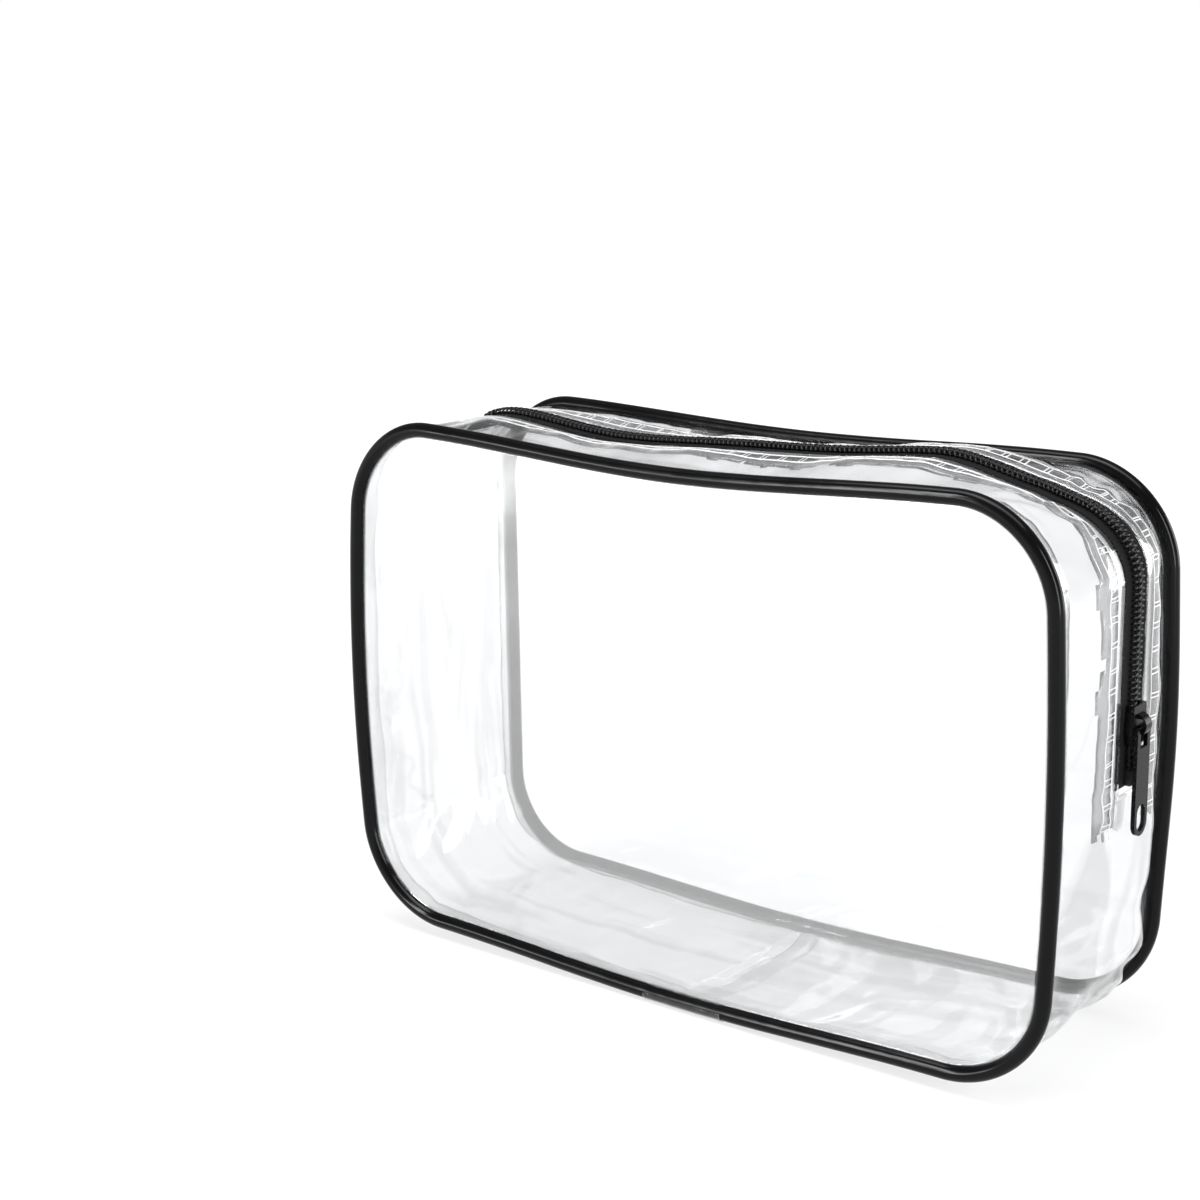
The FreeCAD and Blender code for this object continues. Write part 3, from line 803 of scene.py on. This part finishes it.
def ladder_ribs(name, side):
    """Weld ribs: cross bars and an inner rail, raised on the gusset's face."""
    inner, outer = WELD_BAND_OUTER + 0.8 * MM, WELD_BAND_OUTER + 5.2 * MM
    vertices, faces = [], []
    places = np.arange(A_FLANGE_END + 3 * MM, A_ZIP_START - 2 * MM, RIB_PITCH)
    wander = noise_at(np.stack([places / (9 * MM), places * 0], -1), 12.0 + side)
    for place, shift in zip(places, wander):
        for bar in range(2):
            start = place + 1.6 * MM * shift + bar * 1.5 * MM * (1 + shift)
            along = np.linspace(0, 0.45 * MM, 3)[None, :] + start
            across = np.linspace(inner, outer, 7)[:, None] + 0 * along
            along = along + (across - inner) * 0.12 * shift
            height = np.array([0.02, 0.22, 0.02]) * MM
            points = surface(along, side * across, np.broadcast_to(height, along.shape) + 0 * along)
            base = len(vertices)
            vertices.extend(points.reshape(-1, 3))
            faces.extend(tuple(base + k for k in face) for face in grid_faces(7, 3))
    along = np.arange(A_FLANGE_END, A_ZIP_START, 1.5 * MM)
    for rail in (inner, outer + 0.3 * MM):
        across = rail + 0.25 * MM * noise_at(np.stack([along / (12 * MM), along * 0], -1), rail * 900)
        grid = np.stack([across - 0.22 * MM, across, across + 0.22 * MM], -1)
        grid_along = np.stack([along] * 3, -1)
        height = np.broadcast_to(np.array([0.02, 0.2, 0.02]) * MM, grid.shape)
        points = surface(grid_along, side * grid, height)
        base = len(vertices)
        vertices.extend(points.reshape(-1, 3))
        faces.extend(tuple(base + k for k in face) for face in grid_faces(len(along), 3))
    obj = make_object(name, np.array(vertices), faces)
    thicken(obj, 0.1 * MM)
    return obj


def coil(name, side):
    """One strand of the nylon coil: a flattened helix whose loops meet the other strand's."""
    turns = (A_COIL_START - A_COIL_END) / COIL_PITCH
    steps = int(turns * 14)
    along = np.linspace(A_COIL_END, A_COIL_START, steps)
    angle = 2 * np.pi * (along - A_COIL_END) / COIL_PITCH + (np.pi if side > 0 else 0)
    across = (1.2 + 1.75 * np.cos(angle)) * MM
    out = (0.65 + 0.75 * np.sin(angle)) * MM
    points = surface(along, side * across, out)
    return tube(name, points, COIL_WIRE, 6, False, (0.31, 0.2, 0.93))


def stitch_row(name, side):
    """Sewing thread that holds a strand to its tape: a row of short raised stitches."""
    along = np.linspace(A_COIL_END, A_COIL_START, 1500)
    wave = np.abs(np.sin(np.pi * (along - A_COIL_END) / (COIL_PITCH * 1.3)))
    out = (1.32 + 0.28 * wave) * MM
    points = surface(along, np.full(len(along), side * 2.2 * MM), out)
    return tube(name, points, 0.16 * MM, 5, False, (0.31, 0.9, 0.2))


def bottom_stop():
    """Moulded stop across both strands, with rounded edges, following the zip's line."""
    count_along, count_round = 13, 36
    along = np.linspace(A_STOP_HIGH, A_STOP_LOW, count_along)
    turn = np.linspace(0, 2 * np.pi, count_round, endpoint=False)
    half_width = (bottom_stop_high.y - bottom_stop_low.y) / 2
    half_height = 1.1 * MM

    def squared(value):
        return np.sign(value) * np.abs(value) ** 0.4
    share = np.linspace(-1, 1, count_along)
    end = np.sqrt(1 - np.abs(share) ** 6) * 0.5 + 0.5
    across = half_width * squared(np.cos(turn))[None, :] * end[:, None]
    out = 0.5 * MM + half_height * squared(np.sin(turn))[None, :] * end[:, None]
    points = surface(along[:, None] + 0 * across, across, out)
    faces = grid_faces(count_along, count_round, closed_columns=True)
    faces.append(tuple(range(count_round)))
    last = (count_along - 1) * count_round
    faces.append(tuple(last + k for k in reversed(range(count_round))))
    return make_object("bottom_stop_block", points.reshape(-1, 3), faces)


finish_piece(bottom_stop(), STOP, ["root"], ["zip_bottom_stop"])

FRONT_BODIES = ["root", "mouth"]
for side, place, bodies, ends in ((-1, "front", FRONT_BODIES, True), (1, "rear", ["root"], False)):
    def names(standing, folding, single):
        return [standing, folding] if ends else [single]
    finish_piece(tape(place + "_tape_weave", side), TAPE, bodies,
                 names("front_zip_tape_ends", "mouth_zip_tape", "rear_zip_tape"))
    finish_piece(flange(place + "_flange_film", side, WELD_BAND_OUTER, FLANGE_OUTER, -FILM), FLANGE_FILM,
                 bodies, names("front_zip_flange_ends", "mouth_zip_flange", "rear_zip_flange"))
    finish_piece(flange(place + "_weld_band", side, TAPE_HALF, WELD_BAND_OUTER, -FILM), WELD_FILM,
                 bodies, [])
    finish_piece(ladder_ribs(place + "_weld_ribs", side), RIB_FILM, bodies, [])
    finish_piece(coil(place + "_coil_helix", side), COIL, bodies,
                 names("front_coil_end", "mouth_coil", "rear_coil"))
    finish_piece(stitch_row(place + "_coil_stitches", side), TAPE, bodies, [])

for node, material in (("front_top_stop", STOP), ("rear_top_stop", STOP),
                       ("slider_body", ENAMEL), ("slider_crown", ENAMEL), ("pull_tab", ENAMEL)):
    cad = frame["nodes"][node]
    cad.data.materials.clear()
    cad.data.materials.append(material)


# ---------------------------------------------------------------- stage, light and camera
def floor():
    size = 60.0
    corners = [(-size, -size, 0), (size, -size, 0), (size, size, 0), (-size, size, 0)]
    plane = make_object("stage_floor", corners, [(0, 1, 2, 3)])
    material, tree, output = new_material("stage_white")
    shader = tree.nodes.new("ShaderNodeBsdfPrincipled")
    shader.inputs["Base Color"].default_value = (0.36, 0.36, 0.36, 1)
    shader.inputs["Roughness"].default_value = 0.9
    shader.inputs["Specular IOR Level"].default_value = 0.0
    shader.inputs["Emission Color"].default_value = (1, 1, 1, 1)
    place = tree.nodes.new("ShaderNodeTexCoord")
    distance = tree.nodes.new("ShaderNodeVectorMath")
    distance.operation = "LENGTH"
    tree.links.new(place.outputs["Object"], distance.inputs[0])
    glow = tree.nodes.new("ShaderNodeMapRange")
    glow.inputs["From Min"].default_value = 0.3
    glow.inputs["From Max"].default_value = 1.5
    glow.inputs["To Min"].default_value = 0.54
    glow.inputs["To Max"].default_value = 1.0
    tree.links.new(distance.outputs["Value"], glow.inputs["Value"])
    tree.links.new(glow.outputs[0], shader.inputs["Emission Strength"])
    tree.links.new(shader.outputs[0], output.inputs["Surface"])
    plane.data.materials.append(material)


def world():
    """Pale grey room that brightens to white at the horizon."""
    scene_world = bpy.data.worlds.new("studio")
    scene_world.use_nodes = True
    tree = scene_world.node_tree
    background = tree.nodes["Background"]
    place = tree.nodes.new("ShaderNodeTexCoord")
    split = tree.nodes.new("ShaderNodeSeparateXYZ")
    tree.links.new(place.outputs["Generated"], split.inputs[0])
    ramp = tree.nodes.new("ShaderNodeValToRGB")
    ramp.color_ramp.elements[0].position = 0.03
    ramp.color_ramp.elements[0].color = (1, 1, 1, 1)
    ramp.color_ramp.elements[1].position = 0.36
    ramp.color_ramp.elements[1].color = (0.26, 0.26, 0.265, 1)
    tree.links.new(split.outputs["Z"], ramp.inputs[0])
    tree.links.new(ramp.outputs[0], background.inputs["Color"])
    background.inputs["Strength"].default_value = 1.0
    bpy.context.scene.world = scene_world


def area_light(name, position, target, width, height, power, shadow=True):
    light = bpy.data.lights.new(name, "AREA")
    light.shape = "RECTANGLE"
    light.size = width
    light.size_y = height
    light.energy = power
    light.use_shadow = shadow
    obj = bpy.data.objects.new(name, light)
    obj.location = position
    obj.rotation_euler = (Vector(target) - Vector(position)).to_track_quat("-Z", "Y").to_euler()
    bpy.context.scene.collection.objects.link(obj)


def sun_light(name, direction, strength, angle):
    light = bpy.data.lights.new(name, "SUN")
    light.energy = strength
    light.angle = math.radians(angle)
    obj = bpy.data.objects.new(name, light)
    obj.rotation_euler = Vector(direction).to_track_quat("-Z", "Y").to_euler()
    bpy.context.scene.collection.objects.link(obj)


def camera():
    """View from the front right and a little above, with a long lens."""
    azimuth, elevation, roll = math.radians(38.3), math.radians(14.0), math.radians(-0.92)
    distance, right_shift, up_shift = 0.8111, 0.0501, -0.0372
    back = Vector((math.sin(azimuth) * math.cos(elevation), -math.cos(azimuth) * math.cos(elevation),
                   math.sin(elevation)))
    forward = -back
    right = forward.cross(Vector((0, 0, 1))).normalized()
    up = right.cross(forward)
    turned_right = right * math.cos(roll) + up * math.sin(roll)
    turned_up = -right * math.sin(roll) + up * math.cos(roll)
    centre = Vector((MIDDLE_X, 0, PIPING_LOOP[2] + LIFT + LOOP_HEIGHT / 2))
    place = centre - (turned_right * right_shift + turned_up * up_shift + forward * distance)
    data = bpy.data.cameras.new("camera")
    data.sensor_width = 36
    data.lens = 68.04
    data.clip_end = 200
    obj = bpy.data.objects.new("camera", data)
    rotation = Matrix((turned_right, turned_up, back)).transposed()
    obj.matrix_world = Matrix.Translation(place) @ rotation.to_4x4()
    bpy.context.scene.collection.objects.link(obj)
    bpy.context.scene.camera = obj


floor()
world()
sun_light("overhead", (0.12, 0.2, -1), 0.6, 30)
area_light("left_softbox", (-0.62, -1.15, 0.55), (-0.05, 0, 0.1), 0.17, 1.0, 15)
area_light("right_softbox", (1.2, -0.25, 0.5), (0.12, 0, 0.1), 0.24, 1.0, 11)
area_light("top_strip", (0.0, -0.12, 1.2), (0, 0, 0.19), 1.3, 0.12, 5, shadow=False)
area_light("top_softbox", (0.0, -0.12, 1.2), (0, 0, 0.19), 1.3, 0.7, 7)
area_light("rear_right_softbox", (0.75, 0.95, 0.25), (0.14, 0, 0.12), 0.45, 0.6, 4)
area_light("low_left_softbox", (-0.95, -1.15, 0.2), (-0.1, 0, 0.15), 0.22, 0.3, 3)
camera()
bpy.context.scene.view_settings.view_transform = "Standard"
bpy.context.scene.cycles.transparent_max_bounces = 32
